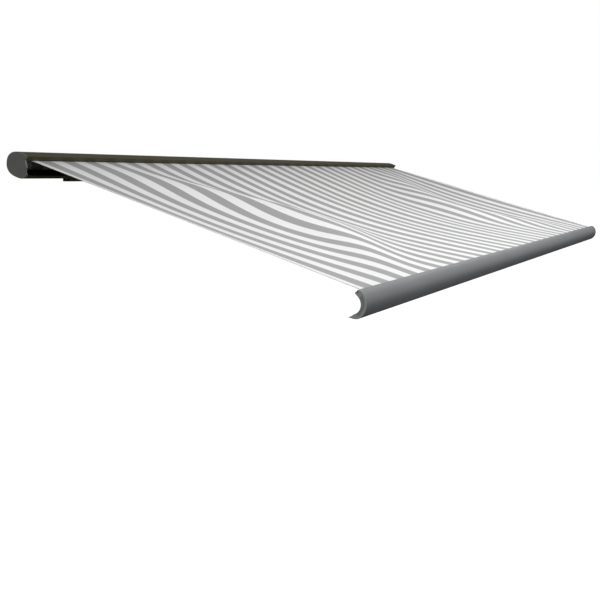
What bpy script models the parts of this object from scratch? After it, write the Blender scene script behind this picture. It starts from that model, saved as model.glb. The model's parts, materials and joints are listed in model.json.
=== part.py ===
# A folding arm awning with a closed cassette, run out to its full reach.
#
# World frame: X runs along the cassette, minus Y points away from the wall, Z is up. The wall is the
# plane Y = 0 and the origin is the middle of the centre wall bracket's back face.
# Everything that the brackets hold is drawn in one sloping frame: b is the distance out along the slope,
# c the height square to it, and both start at the cassette's own axis.

import math

import bmesh
import bpy
from mathutils import Vector

# Driving sizes, in metres

WIDTH = 5.500
PITCH = math.radians(15.6)
TRAVEL = 2.433
GAP = 0.0003

AXIS_FROM_WALL = 0.160
SHELL_REAR = 0.114
SHELL_HEIGHT = 0.081
SHELL_CENTRE_B = -0.020
SHELL_CENTRE_C = -0.002
TOE_LENGTH = 0.0915
REAR_POWER = 2.6
TOE_POWER = 2.6
TOE_CENTRE_C = -0.020
HOOD_LENGTH = 0.176
WALL = 0.0026
SEAM_ANGLE = 131
TOE_ANGLE = 338
LIP_TOP_B = 0.050
LIP_B = 0.0365
LIP_C = 0.0420
LIP_THICK = 0.0032
CAP_THICK = 0.010
CAP_SPIGOT = 0.016
CAP_SPIGOT_WALL = 0.003
CAP_BEVEL = 0.003
PORT_RADIUS = 0.0055
PORT_HOLE = 0.0024
PORT_DEPTH = 0.0045
PEG_LENGTH = 0.022
FRONT_PORT_B = 0.046
RIB_ANGLE = 138
RIB_HEIGHT = 0.006
RIB_WIDTH = 0.004
TONGUE_LAP = 12
TONGUE_THICK = 0.002

ROLLER_B = -0.062
ROLLER_C = -0.0026
ROLLER_RADIUS = 0.039
ROLLER_WALL = 0.0018
ROLLER_END_ROOM = 0.034
ROLL_THICK = 0.0020
ROLL_FULL_RADIUS = 0.046
FABRIC_THICK = 0.0010
FABRIC_SIDE_ROOM = 0.052
KEDER_RADIUS = 0.0030
ROLLER_KEDER_RADIUS = 0.0014
KEYWAY_DEPTH = 0.0075
KEYWAY_HALF = 0.0038
KEYWAY_MOUTH = 0.0016
MOTOR_LENGTH = 0.620
MOTOR_RADIUS = 0.0265
MOTOR_HEAD_RADIUS = 0.034
DRIVE_SHAFT_RADIUS = 0.008
IDLER_SHAFT_RADIUS = 0.0075

ARM_OVER_FLOOR = 0.040
ARM_FROM_END = 0.580
ARM_WIDTH = 0.038
ARM_HEIGHT = 0.046
ARM_WALL = 0.003
ARM_CORNER = 0.012
ARM_SIDE_GAP = 0.004
ARM_TO_ROLLER = 0.004
ARM_BEND = 0.760
ARM_END = 0.032
BLOCK = 0.003
PLUG = 0.045
FORK_GAP_HALF = 0.0130
TONGUE_HALF = 0.0125
BELT_THICK = 0.0018
BELT_HALF = 0.010
WRIST_HALF = 0.020
PIN_RADIUS = 0.008
WRIST_PIN_RADIUS = 0.006
PIN_CLEARANCE = 0.0004
FORK_PLATE = 0.006
FORK_CLEARANCE = 0.0006
WRIST_FLAT = 0.026
WRIST_SEAT = 0.017
FLANGE_HALF = 0.042
CHEEK_HALF = 0.018
WRIST_BOLT_OUT = 0.031

BAR_OUTER_RADIUS = 0.085
BAR_OUTER_B = -0.085
BAR_OUTER_C = -0.010
BAR_INNER_RADIUS = 0.0515
BAR_INNER_B = -0.082
BAR_INNER_C = -0.012
BAR_TOP_C = 0.069
BAR_OVER_ARM = 0.020
BAR_WALL = 0.0022
GROOVE_B = -0.066
GROOVE_C = 0.056
GROOVE_RADIUS = 0.0044
GROOVE_SLOT_HALF = 0.0013
CAP_RIM = 0.010
CAP_RECESS = 0.0016

BRACKET_WIDTH = 0.180
BRACKET_PLATE = 0.008
BRACKET_TOP = 0.086
BRACKET_BOTTOM = -0.104
BRACKET_FROM_END = 0.565
BRACKET_WALL = 0.006
BRACKET_HOLE_RADIUS = 0.0055
BRACKET_HOLE_OUT = 0.060
NOSE_HEIGHT = 0.009

SAG = 0.095
RIDGE_START = 0.590
RIDGE_BEND = 0.730
LEFT_HOLD = 0.95
RIGHT_HOLD = 0.77
RIPPLE = 0.005
FABRIC_LEAD = 0.014
FABRIC_ROWS = 18
FABRIC_COLUMNS = 56

# Sizes that follow from the ones above

FABRIC_HALF = WIDTH / 2 - FABRIC_SIDE_ROOM
SHELL_HALF = WIDTH / 2 - CAP_THICK - GAP
ROLL_RADIUS = ROLLER_RADIUS + GAP + ROLL_THICK
ARM_SHIFT = (ARM_WIDTH + ARM_SIDE_GAP) / 2
KNUCKLE_HALF = ARM_HEIGHT / 2 - 0.0005
ELBOW_RADIUS = ARM_WIDTH / 2
TONGUE_RADIUS = ARM_WIDTH / 2 - 0.003
WRIST_RADIUS = ARM_WIDTH / 2 - 0.002
ARM_C = SHELL_CENTRE_C - SHELL_HEIGHT + ARM_OVER_FLOOR + ARM_HEIGHT / 2
BAR_C = ARM_C + BAR_OVER_ARM
SHOULDER_B = ROLLER_B + ROLL_FULL_RADIUS + ARM_TO_ROLLER + ARM_WIDTH / 2
CLOSED_REACH = 2 * ARM_SHIFT
OPEN_REACH = CLOSED_REACH + TRAVEL
ARM_LENGTH = math.hypot(ARM_BEND, OPEN_REACH / 2)
OPEN_ANGLE = math.atan2(ARM_BEND, OPEN_REACH / 2)
SHOULDER_X = WIDTH / 2 - ARM_FROM_END
WRIST_B = SHOULDER_B + OPEN_REACH
BAR_OUT = SHOULDER_B + CLOSED_REACH + WRIST_FLAT + WRIST_SEAT - BAR_INNER_B - BAR_INNER_RADIUS
BAR_REST = BAR_OUT + TRAVEL


def clear_scene():
    for item in list(bpy.data.objects):
        bpy.data.objects.remove(item, do_unlink=True)


# Materials

def paint(name, colour, roughness, metallic=0.0):
    material = bpy.data.materials.new(name)
    material.use_nodes = True
    shader = material.node_tree.nodes["Principled BSDF"]
    shader.inputs["Base Color"].default_value = (*colour, 1.0)
    shader.inputs["Roughness"].default_value = roughness
    shader.inputs["Metallic"].default_value = metallic
    material.diffuse_color = (*colour, 1.0)
    return material


ANTHRACITE = ((0.060, 0.056, 0.042), 0.45, 0.3)
BAR_GREY = ((0.180, 0.180, 0.190), 0.42, 0.3)
CAP_GREY = ((0.075, 0.082, 0.080), 0.55, 0.0)
BLACK_CAST = ((0.016, 0.016, 0.017), 0.50, 0.2)
ARM_GREY = ((0.060, 0.062, 0.062), 0.45, 0.3)
STEEL = ((0.45, 0.45, 0.46), 0.30, 1.0)
ZINC = ((0.55, 0.56, 0.57), 0.40, 1.0)
CLOTH = ((0.62, 0.62, 0.62), 0.90, 0.0)
RUBBER = ((0.02, 0.02, 0.02), 0.80, 0.0)


# Places in the sloping frame

def along_x(b, c, x):
    return Vector((x, -b, c))


def along_c(x, b, c):
    return Vector((x, -b, c))


def along_b(x, c, b):
    return Vector((x, -b, c))


def along_world_x(y, z, x):
    return Vector((x, y, z))


def along_world_y(x, z, y):
    return Vector((x, y, z))


def turned(points):
    """World (y, z) of points given as (b, c)."""
    sine = math.sin(PITCH)
    cosine = math.cos(PITCH)
    return [(-AXIS_FROM_WALL - b * cosine - c * sine, -b * sine + c * cosine) for b, c in points]


# Outlines

def ring(u, v, radius, count=20):
    return arc(u, v, radius, 0, 360 - 360 / count, count)


def arc(u, v, radius, start, end, count):
    """count points from one angle to another, both included, in degrees."""
    steps = [math.radians(start + (end - start) * i / (count - 1)) for i in range(count)]
    return [(u + radius * math.cos(t), v + radius * math.sin(t)) for t in steps]


def superellipse(u, v, half_u, half_v, power, start, end, count):
    points = []
    for i in range(count):
        t = math.radians(start + (end - start) * i / (count - 1))
        cosine = math.cos(t)
        sine = math.sin(t)
        points.append((
            u + half_u * math.copysign(abs(cosine) ** (2 / power), cosine),
            v + half_v * math.copysign(abs(sine) ** (2 / power), sine),
        ))
    return points


def rounded_box(half_u, half_v, radius, steps=4):
    points = []
    for u, v, start in ((1, 1, 0), (-1, 1, 90), (-1, -1, 180), (1, -1, 270)):
        points += arc(u * (half_u - radius), v * (half_v - radius), radius, start, start + 90, steps)
    return points


def hull(points):
    """The convex outline round some points."""
    ordered = sorted(set(points))

    def half(sequence):
        out = []
        for p in sequence:
            while len(out) > 1 and turn(out[-2], out[-1], p) <= 0:
                out.pop()
            out.append(p)
        return out[:-1]

    return half(ordered) + half(ordered[::-1])


def turn(a, b, c):
    return (b[0] - a[0]) * (c[1] - a[1]) - (b[1] - a[1]) * (c[0] - a[0])


# The cassette's section, at a depth inside its outer surface

def hood_curve(depth, front, count):
    """From the front edge back over the top to the rear seam."""
    half_u = HOOD_LENGTH - depth
    half_v = SHELL_HEIGHT - depth
    start = math.degrees(math.acos((front - SHELL_CENTRE_B) / half_u))
    top = superellipse(SHELL_CENTRE_B, SHELL_CENTRE_C, half_u, half_v, 2, start, 90, count)
    rear = superellipse(
        SHELL_CENTRE_B, SHELL_CENTRE_C, SHELL_REAR - depth, half_v, 2, 90, SEAM_ANGLE, count)
    return top + rear[1:]


def rear_curve(depth, start, count):
    """From the seam down the back to the floor's middle."""
    half_u = SHELL_REAR - depth
    half_v = SHELL_HEIGHT - depth
    upper = superellipse(SHELL_CENTRE_B, SHELL_CENTRE_C, half_u, half_v, 2, start, 180, count)
    lower = superellipse(SHELL_CENTRE_B, SHELL_CENTRE_C, half_u, half_v, REAR_POWER, 180, 270, count + 3)
    return upper + lower[1:]


def toe_curve(depth, end, count):
    """From the floor's middle forward to the toe."""
    floor_c = SHELL_CENTRE_C - SHELL_HEIGHT + depth
    half_v = TOE_CENTRE_C - floor_c
    return superellipse(
        SHELL_CENTRE_B, TOE_CENTRE_C, TOE_LENGTH - depth, half_v, TOE_POWER, 270, end, count)


def floor_at(b, depth):
    """Height of the inside of the floor at a distance out."""
    if b < SHELL_CENTRE_B:
        centre, half_u, power = SHELL_CENTRE_C, SHELL_REAR - depth, REAR_POWER
    else:
        centre, half_u, power = TOE_CENTRE_C, TOE_LENGTH - depth, TOE_POWER
    half_v = centre - (SHELL_CENTRE_C - SHELL_HEIGHT + depth)
    share = abs(b - SHELL_CENTRE_B) / half_u
    return centre - half_v * (1 - share ** power) ** (1 / power)


# Solids

def prism(loops, low, high, place):
    """A closed solid: the first outline, less the others, drawn from low to high."""
    bm = bmesh.new()
    edges = []
    for loop in loops:
        verts = [bm.verts.new(place(u, v, low)) for u, v in loop]
        edges += [bm.edges.new((verts[i - 1], verts[i])) for i in range(len(verts))]
    bmesh.ops.triangle_fill(bm, use_beauty=True, use_dissolve=False, edges=edges)
    grown = bmesh.ops.extrude_face_region(bm, geom=bm.faces[:])
    shift = place(0, 0, high) - place(0, 0, low)
    moved = [item for item in grown["geom"] if isinstance(item, bmesh.types.BMVert)]
    bmesh.ops.translate(bm, vec=shift, verts=moved)
    bmesh.ops.recalc_face_normals(bm, faces=bm.faces[:])
    return bm


def turned_solid(profile, place, count=16):
    """A solid turned round the axis u = 0, v = 0: profile is a list of (distance along, radius)."""
    bm = bmesh.new()
    rings = []
    for along, radius in profile:
        if radius == 0:
            rings.append([bm.verts.new(place(0, 0, along))])
        else:
            rings.append([bm.verts.new(place(u, v, along)) for u, v in ring(0, 0, radius, count)])
    for first, second in zip(rings, rings[1:]):
        for i in range(count):
            a = first[i - 1] if len(first) > 1 else first[0]
            b = first[i] if len(first) > 1 else first[0]
            c = second[i] if len(second) > 1 else second[0]
            d = second[i - 1] if len(second) > 1 else second[0]
            corners = list(dict.fromkeys((a, b, c, d)))
            if len(corners) > 2:
                bm.faces.new(corners)
    bmesh.ops.recalc_face_normals(bm, faces=bm.faces[:])
    return bm


def moved(bm, x=0.0, b=0.0, c=0.0):
    bmesh.ops.translate(bm, vec=Vector((x, -b, c)), verts=bm.verts[:])
    return bm


def piece(name, solids, colour, parent, smooth=35):
    """One named object from one solid, or from several that lie apart."""
    mesh = bpy.data.meshes.new(name)
    whole = bmesh.new()
    for bm in solids if isinstance(solids, list) else [solids]:
        part = bpy.data.meshes.new("part")
        bm.to_mesh(part)
        bm.free()
        whole.from_mesh(part)
        bpy.data.meshes.remove(part)
    whole.to_mesh(mesh)
    whole.free()
    obj = bpy.data.objects.new(name, mesh)
    bpy.context.scene.collection.objects.link(obj)
    mesh.materials.append(paint(name, *colour))
    mesh.shade_smooth()
    mesh.set_sharp_from_angle(angle=math.radians(smooth))
    obj.parent = parent
    return obj


def combine(obj, bm, operation):
    """Adds a solid to an object, or cuts it away."""
    mesh = bpy.data.meshes.new("tool")
    bm.to_mesh(mesh)
    bm.free()
    tool = bpy.data.objects.new("tool", mesh)
    bpy.context.scene.collection.objects.link(tool)
    tool.parent = obj.parent
    change = obj.modifiers.new(operation, "BOOLEAN")
    change.operation = operation
    change.solver = "EXACT"
    change.object = tool
    bpy.context.view_layer.update()
    bpy.context.view_layer.objects.active = obj
    bpy.ops.object.modifier_apply(modifier=change.name)
    bpy.data.objects.remove(tool, do_unlink=True)
    bpy.data.meshes.remove(mesh)
    return obj


def join(obj, *solids):
    for bm in solids:
        combine(obj, bm, "UNION")
    return obj


def cut(obj, *solids):
    for bm in solids:
        combine(obj, bm, "DIFFERENCE")
    return obj


def pivot(name, parent, x, b, c, angle):
    """An empty on a joint's axis, turned about it."""
    empty = bpy.data.objects.new(name, None)
    bpy.context.scene.collection.objects.link(empty)
    empty.parent = parent
    empty.location = (x, -b, c)
    empty.rotation_euler = (0, 0, angle)
    return empty


# Cassette

def peg_ports():
    """Middles of the round ports that the end caps' pegs push into."""
    inside = WALL + PORT_DEPTH
    rear = SHELL_REAR - inside
    height = SHELL_HEIGHT - inside
    upper = superellipse(SHELL_CENTRE_B, SHELL_CENTRE_C, rear, height, 2, 150, 150, 2)[0]
    lower = superellipse(SHELL_CENTRE_B, SHELL_CENTRE_C, rear, height, REAR_POWER, 222, 222, 2)[0]
    front = (FRONT_PORT_B, floor_at(FRONT_PORT_B, inside))
    return [upper, lower, front]


def hood_port():
    inside = WALL + PORT_DEPTH
    return superellipse(
        SHELL_CENTRE_B, SHELL_CENTRE_C, HOOD_LENGTH - inside, SHELL_HEIGHT - inside, 2, 84, 84, 2)[0]


def add_port(shell, place):
    join(shell, prism([ring(*place, PORT_RADIUS, 12)], -SHELL_HALF, SHELL_HALF, along_x))
    cut(shell, prism([ring(*place, PORT_HOLE, 8)], -SHELL_HALF - 0.01, SHELL_HALF + 0.01, along_x))


def rib(angle, height, width):
    """A rib across the shell's back, where the wall brackets hook on."""
    base, top = [
        Vector(superellipse(
            SHELL_CENTRE_B, SHELL_CENTRE_C, SHELL_REAR + out, SHELL_HEIGHT + out, 2, angle, angle, 2)[0])
        for out in (-0.001, height)]
    out = (top - base).normalized()
    side = Vector((-out.y, out.x)) * width / 2
    corners = [base - side, top - side, top + side, base + side]
    return [(corner.x, corner.y) for corner in corners]


def build_cassette(frame):
    outer = rear_curve(0, SEAM_ANGLE + 0.4, 16) + toe_curve(0, TOE_ANGLE, 12)[1:]
    inner = rear_curve(WALL, SEAM_ANGLE + 0.4, 16) + toe_curve(WALL, TOE_ANGLE, 12)[1:]
    lap = WALL + GAP
    lap_in = lap + TONGUE_THICK
    root = superellipse(
        SHELL_CENTRE_B, SHELL_CENTRE_C, SHELL_REAR - WALL + 0.001, SHELL_HEIGHT - WALL + 0.001, 2,
        SEAM_ANGLE + 5, SEAM_ANGLE + 0.8, 3)
    tongue_out = superellipse(
        SHELL_CENTRE_B, SHELL_CENTRE_C, SHELL_REAR - lap, SHELL_HEIGHT - lap, 2,
        SEAM_ANGLE + 0.8, SEAM_ANGLE - TONGUE_LAP, 4)
    tongue_in = superellipse(
        SHELL_CENTRE_B, SHELL_CENTRE_C, SHELL_REAR - lap_in, SHELL_HEIGHT - lap_in, 2,
        SEAM_ANGLE - TONGUE_LAP, SEAM_ANGLE + 5, 4)
    loop = outer + inner[::-1]
    shell = piece(
        "cassette_back_shell", prism([loop], -SHELL_HALF, SHELL_HALF, along_x), ANTHRACITE, frame)
    tongue = root + tongue_out + tongue_in
    join(shell, prism([tongue], -SHELL_HALF, SHELL_HALF, along_x))
    join(shell, prism([rib(RIB_ANGLE, RIB_HEIGHT, RIB_WIDTH)], -SHELL_HALF, SHELL_HALF, along_x))
    for place in peg_ports():
        add_port(shell, place)

    top = hood_curve(0, LIP_TOP_B, 12)
    under = hood_curve(WALL, LIP_TOP_B - 0.0045, 12)
    lip = [(LIP_B - LIP_THICK, LIP_C + 0.0012), (LIP_B - LIP_THICK * 0.6, LIP_C), (LIP_B, LIP_C + 0.0008)]
    hood = piece(
        "cassette_top_cover",
        prism([lip + top + under[::-1]], -SHELL_HALF, SHELL_HALF, along_x), ANTHRACITE, frame)
    add_port(hood, hood_port())


def cap_outline(depth):
    """The end cap's outline: the shell's, with the wavy front edge that the bar closes on."""
    rear = rear_curve(depth, SEAM_ANGLE, 14) + toe_curve(depth, TOE_ANGLE + 8, 12)[1:]
    front = [(0.0585 - depth, -0.030), (0.0565 - depth, -0.017), (0.0590 - depth, 0.002)]
    lip = [(LIP_B - depth, LIP_C)]
    return front + lip + hood_curve(depth, LIP_TOP_B, 12) + rear[1:]


def build_end_caps(frame):
    for name, side in (("end_cap_left", -1), ("end_cap_right", 1)):
        face = side * WIDTH / 2
        inside = side * (WIDTH / 2 - CAP_THICK)
        cap = piece(name, prism([cap_outline(0)], face, inside, along_x), CAP_GREY, frame)
        bevel = cap.modifiers.new("edge", "BEVEL")
        bevel.width = CAP_BEVEL
        bevel.segments = 1
        bevel.limit_method = "ANGLE"
        bevel.angle_limit = math.radians(60)
        bpy.context.view_layer.objects.active = cap
        bpy.ops.object.modifier_apply(modifier="edge")
        clear = WALL + GAP
        rim = rear_curve(clear, 150, 12)
        rim_in = rear_curve(clear + CAP_SPIGOT_WALL, 150, 12)
        spigot = [rim + rim_in[::-1]]
        join(cap, prism(spigot, inside + side * 0.002, inside - side * CAP_SPIGOT, along_x))
        for place in peg_ports() + [hood_port()]:
            cut(cap, prism([ring(*place, PORT_RADIUS + GAP, 12)], inside, inside - side * 0.05, along_x))
            peg = ring(*place, PORT_HOLE - GAP, 8)
            join(cap, prism([peg], inside + side * 0.002, inside - side * PEG_LENGTH, along_x))


# Wall brackets

def bracket_outline():
    """World outline of the bracket: back plate, saddle under the shell and the nose behind its rib."""
    near = GAP
    back = superellipse(
        SHELL_CENTRE_B, SHELL_CENTRE_C, SHELL_REAR + near, SHELL_HEIGHT + near, 2, RIB_ANGLE + 3, 180, 10)
    low = superellipse(
        SHELL_CENTRE_B, SHELL_CENTRE_C, SHELL_REAR + near, SHELL_HEIGHT + near, REAR_POWER, 180, 262, 24)
    saddle = turned(back + low[1:])
    nose = superellipse(
        SHELL_CENTRE_B, SHELL_CENTRE_C, SHELL_REAR + NOSE_HEIGHT, SHELL_HEIGHT + NOSE_HEIGHT, 2,
        RIB_ANGLE + 3, RIB_ANGLE + 10, 2)
    tip = saddle[-1]
    return [
        (0, BRACKET_BOTTOM), (0, BRACKET_TOP), (-BRACKET_PLATE, BRACKET_TOP),
        *turned(nose)[::-1], *saddle,
        (tip[0] - 0.003, tip[1] - 0.006), (tip[0] + 0.018, BRACKET_BOTTOM),
    ]


def bracket_chambers():
    """The hollow chambers between the back plate and the saddle."""
    wall = BRACKET_WALL
    back = superellipse(
        SHELL_CENTRE_B, SHELL_CENTRE_C, SHELL_REAR + wall, SHELL_HEIGHT + wall, 2, 146, 172, 6)
    low = superellipse(
        SHELL_CENTRE_B, SHELL_CENTRE_C, SHELL_REAR + wall, SHELL_HEIGHT + wall, REAR_POWER, 196, 250, 9)
    upper = turned(back)
    lower = turned(low)
    return [
        [(-BRACKET_PLATE, upper[-1][1]), (-BRACKET_PLATE, upper[0][1] - 0.004)] + upper,
        [(-BRACKET_PLATE, BRACKET_BOTTOM + wall), (-BRACKET_PLATE, lower[0][1])] + lower
        + [(lower[-1][0], BRACKET_BOTTOM + wall)],
    ]


def bracket_centres():
    edge = WIDTH / 2 - BRACKET_FROM_END
    return (("left", -edge), ("centre", 0.0), ("right", edge))


def build_wall_brackets():
    for name, x in bracket_centres():
        loops = [bracket_outline()] + bracket_chambers()
        half = BRACKET_WIDTH / 2
        bracket = piece(
            "wall_bracket_" + name, prism(loops, x - half, x + half, along_world_x), BLACK_CAST, None)
        for shift in (-BRACKET_HOLE_OUT, BRACKET_HOLE_OUT):
            for height in (BRACKET_TOP - 0.018, BRACKET_BOTTOM + 0.016):
                place = ring(x + shift, height, BRACKET_HOLE_RADIUS, 12)
                cut(bracket, prism([place], 0.01, -0.060, along_world_y))


# Roller, motor and bearing

def build_roller(frame):
    spin = pivot("roller_axis", frame, 0, ROLLER_B, ROLLER_C, 0)
    tube_half = WIDTH / 2 - ROLLER_END_ROOM
    groove_r = ROLLER_RADIUS - KEYWAY_DEPTH
    lip_r = groove_r + KEYWAY_DEPTH / 2
    pocket = [
        (lip_r, -KEYWAY_MOUTH), (lip_r, -KEYWAY_HALF), (groove_r, -KEYWAY_HALF),
        (groove_r, KEYWAY_HALF), (lip_r, KEYWAY_HALF), (lip_r, KEYWAY_MOUTH)]
    mouth = math.degrees(math.asin(KEYWAY_MOUTH / ROLLER_RADIUS))
    outer = arc(0, 0, ROLLER_RADIUS, mouth, 360 - mouth, 34) + pocket
    wall_out = KEYWAY_HALF + ROLLER_WALL + 0.0004
    fold = math.degrees(math.asin(wall_out * 1.3 / ROLLER_RADIUS))
    inner = arc(0, 0, ROLLER_RADIUS - ROLLER_WALL, fold, 360 - fold, 30) + [
        (groove_r - ROLLER_WALL, -wall_out), (groove_r - ROLLER_WALL, wall_out)]
    piece("roller_tube", prism([outer, inner], -tube_half, tube_half, along_x), ZINC, spin)

    rod = ring(groove_r + ROLLER_KEDER_RADIUS + GAP, 0, ROLLER_KEDER_RADIUS, 8)
    piece("roller_keder", prism([rod], -FABRIC_HALF, FABRIC_HALF, along_x), RUBBER, spin)

    turn_count = 36
    low = ROLLER_RADIUS + GAP
    outside = []
    for i in range(turn_count):
        share = i / (turn_count - 1)
        radius = low + ROLL_THICK - FABRIC_THICK * (1 - share)
        angle = 2 * math.pi * share * (turn_count - 1) / turn_count
        outside.append((radius * math.cos(angle), radius * math.sin(angle)))
    roll = prism([outside, ring(0, 0, low, 36)], -FABRIC_HALF, FABRIC_HALF, along_x)
    piece("fabric_roll", roll, CLOTH, spin)

    wheel_out = groove_r - ROLLER_WALL - GAP
    wheel_x = -tube_half + MOTOR_LENGTH
    wheel = [ring(0, 0, wheel_out, 24), ring(0, 0, DRIVE_SHAFT_RADIUS + PIN_CLEARANCE, 16)]
    piece("motor_drive_wheel", prism(wheel, wheel_x, wheel_x + 0.022, along_x), BLACK_CAST, spin)
    plug_end = tube_half + 0.006
    plug = [
        (tube_half - 0.080, 0), (tube_half - 0.080, wheel_out), (tube_half + GAP, wheel_out),
        (tube_half + GAP, ROLLER_RADIUS), (plug_end, ROLLER_RADIUS), (plug_end, 0.012),
        (plug_end + 0.003, 0.012), (plug_end + 0.003, IDLER_SHAFT_RADIUS),
        (WIDTH / 2 - CAP_THICK - 0.001, IDLER_SHAFT_RADIUS), (WIDTH / 2 - CAP_THICK - 0.001, 0),
    ]
    piece("roller_end_plug", turned_solid(plug, along_x), BLACK_CAST, spin)

    face = -(WIDTH / 2 - CAP_THICK) + GAP
    head = -tube_half - 0.002
    motor = [
        (face, 0), (face, MOTOR_HEAD_RADIUS - 0.004), (face + 0.010, MOTOR_HEAD_RADIUS),
        (head, MOTOR_HEAD_RADIUS), (head, MOTOR_RADIUS - GAP),
        (wheel_x - 0.030, MOTOR_RADIUS), (wheel_x - 0.026, 0.020), (wheel_x - 0.010, 0.020),
        (wheel_x - 0.008, DRIVE_SHAFT_RADIUS), (wheel_x + 0.026, DRIVE_SHAFT_RADIUS), (wheel_x + 0.026, 0),
    ]
    seat = pivot("roller_seat", frame, 0, ROLLER_B, ROLLER_C, 0)
    piece("tube_motor", turned_solid(motor, along_x), BLACK_CAST, seat)
    bush = [ring(0, 0, 0.017, 24), ring(0, 0, IDLER_SHAFT_RADIUS + PIN_CLEARANCE, 24)]
    start = plug_end + 0.004
    piece("idler_bearing", prism(bush, start, WIDTH / 2 - CAP_THICK - GAP, along_x), RUBBER, seat)


# Shoulder brackets

def build_shoulder(frame, name, side):
    """side is minus one on the left and one on the right; the web stands on the outboard side."""
    x = side * SHOULDER_X
    low = ARM_C - ARM_HEIGHT / 2 - FORK_CLEARANCE
    high = ARM_C + ARM_HEIGHT / 2 + FORK_CLEARANCE
    half = 0.085
    rear = SHOULDER_B - 0.080
    front = SHOULDER_B + 0.026
    count = 12
    floor = []
    for i in range(count):
        b = rear + (front - rear) * i / (count - 1)
        floor.append((b, floor_at(b, WALL + GAP)))
    ledge = low - FORK_PLATE
    foot = floor + [(front, ledge), (SHOULDER_B - 0.022, ledge), (rear, floor[0][1] + 0.007)]
    core_low = floor[0][1] + 0.006
    core = [
        (front - 0.006, core_low), (front - 0.006, ledge - 0.006),
        (SHOULDER_B - 0.020, ledge - 0.006), (SHOULDER_B - 0.052, core_low)]
    bracket = piece(
        "shoulder_bracket_" + name, prism([foot, core], x - half, x + half, along_x), BLACK_CAST, frame)
    eye = ring(x, SHOULDER_B, 0.022)
    web_out = x + side * 0.058
    web_in = x + side * 0.034
    root = [(web_out, SHOULDER_B - 0.018), (web_out, SHOULDER_B + 0.022),
            (web_in, SHOULDER_B - 0.018), (web_in, SHOULDER_B + 0.022)]
    plate = hull(eye + root)
    join(bracket, prism([plate], ledge - 0.002, low, along_c))
    web = [root[0], root[1], root[3], root[2]]
    join(bracket, prism([web], ledge - 0.001, high + FORK_PLATE - 0.001, along_c))
    join(bracket, prism([plate], high, high + FORK_PLATE, along_c))
    bore = ring(x, SHOULDER_B, PIN_RADIUS + GAP, 16)
    cut(bracket, prism([bore], ledge - 0.004, high + 0.02, along_c))
    for bolt_x, bolt_b in shoulder_bolts(x):
        cut(bracket, prism([ring(bolt_x, bolt_b, 0.0045, 12)], -0.10, low, along_c))
    pin_top = high + FORK_PLATE + GAP
    pin = [
        (ledge - 0.0035, 0), (ledge - 0.0035, PIN_RADIUS), (pin_top, PIN_RADIUS), (pin_top, 0.012),
        (pin_top + 0.003, 0.012), (pin_top + 0.004, 0.010), (pin_top + 0.004, 0),
    ]
    piece("shoulder_pin_" + name, moved(turned_solid(pin, along_c), x, SHOULDER_B), STEEL, frame)


def shoulder_bolts(x):
    return [(x + dx, SHOULDER_B + 0.002) for dx in (-0.070, 0.070)]


def build_shoulder_bolts(frame):
    """Cap screws that hold both shoulder brackets down on the cassette's floor."""
    ledge = ARM_C - ARM_HEIGHT / 2 - FORK_CLEARANCE - FORK_PLATE
    for name, side in (("left", -1), ("right", 1)):
        for number, (x, b) in enumerate(shoulder_bolts(side * SHOULDER_X)):
            foot = floor_at(b, WALL) + 0.0015
            profile = [
                (ledge + 0.0065, 0), (ledge + 0.0065, 0.0062), (ledge + 0.006, 0.0070),
                (ledge + GAP, 0.0070), (ledge + GAP, 0.0042), (foot, 0.0042), (foot, 0),
            ]
            bolt = moved(turned_solid(profile, along_c, 16), x, b)
            piece("shoulder_bolt_%s_%d" % (name, number + 1), bolt, STEEL, frame)


# Arms: each is drawn along its own line from pin to pin, d is the distance from the first pin

def leaning(shift_start, shift_end):
    """Places a section point at a distance along an arm whose profile leans off the line of the pins."""
    def place(x, c, d):
        return Vector((x + shift_start + (shift_end - shift_start) * d / ARM_LENGTH, -d, c))
    return place


def tube_outline(depth):
    return rounded_box(ARM_WIDTH / 2 - depth, ARM_HEIGHT / 2 - depth, ARM_CORNER - depth)


def arm_end(shift, d_pin, d_block, radius, low, high, side):
    """A plate between a knuckle's eye and the arm's end, seen from above."""
    eye = ring(0, d_pin, radius)
    edge = [(side * shift + s * (ARM_WIDTH / 2), d_block) for s in (-1, 1)]
    return prism([hull(eye + edge)], low, high, along_c)


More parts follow.
